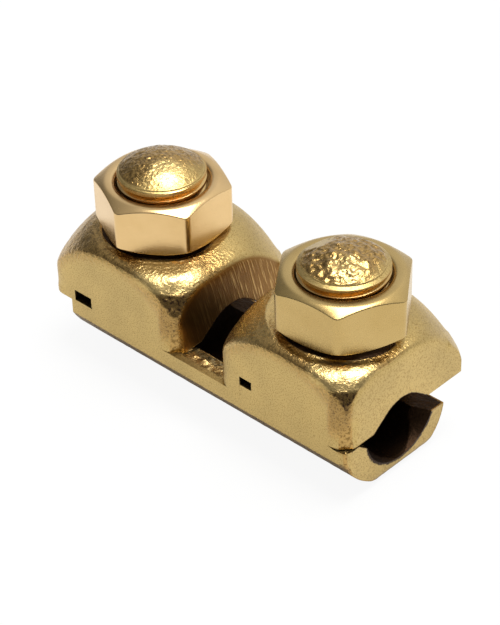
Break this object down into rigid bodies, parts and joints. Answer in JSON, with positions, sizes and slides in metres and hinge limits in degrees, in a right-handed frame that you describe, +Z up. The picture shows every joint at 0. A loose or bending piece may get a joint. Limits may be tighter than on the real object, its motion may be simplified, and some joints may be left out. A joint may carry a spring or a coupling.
{
  "type": "reducing splice connector",
  "caption": "Cast bronze splice connector that joins cables of unlike size end to end, with a trough base, integral threaded studs, domed clamping saddles and hexagon nuts.",
  "frame": {"origin": "on the plane of the base's foot, midway between the two stud axes", "axes": "+X along the cables towards the small end, +Y to the far side with the thin lip, +Z up along the studs"},
  "size_m": [0.0571, 0.024, 0.0315],
  "materials": {
    "cast_bronze": "sand cast, with ground satin sides",
    "machined_bronze": "machined satin"
  },
  "bodies": {
    "base": {"base": "cast_bronze"},
    "large_saddle": {"large_saddle": "cast_bronze"},
    "small_saddle": {"small_saddle": "cast_bronze"},
    "large_nut": {"large_nut": "machined_bronze"},
    "small_nut": {"small_nut": "machined_bronze"}
  },
  "joints": [
    {"name": "large_saddle_lift", "type": "slide", "parent": "base", "child": "large_saddle", "axis": [0, 0, 1], "range_m": [0, 0.00762]},
    {"name": "small_saddle_lift", "type": "slide", "parent": "base", "child": "small_saddle", "axis": [0, 0, 1], "range_m": [0, 0.00762]},
    {"name": "large_nut_turn", "type": "hinge", "parent": "large_saddle", "child": "large_nut", "pos_m": [-0.0171, 0, 0.0204], "axis": [0, 0, 1], "range_deg": [0, 2164]},
    {"name": "small_nut_turn", "type": "hinge", "parent": "small_saddle", "child": "small_nut", "pos_m": [0.0171, 0, 0.0204], "axis": [0, 0, 1], "range_deg": [0, 2164]}
  ],
  "couplings": [
    {"joint": "large_nut_turn", "follows": "large_saddle_lift", "rad_per_m": 4947.4},
    {"joint": "small_nut_turn", "follows": "small_saddle_lift", "rad_per_m": 4947.4}
  ]
}
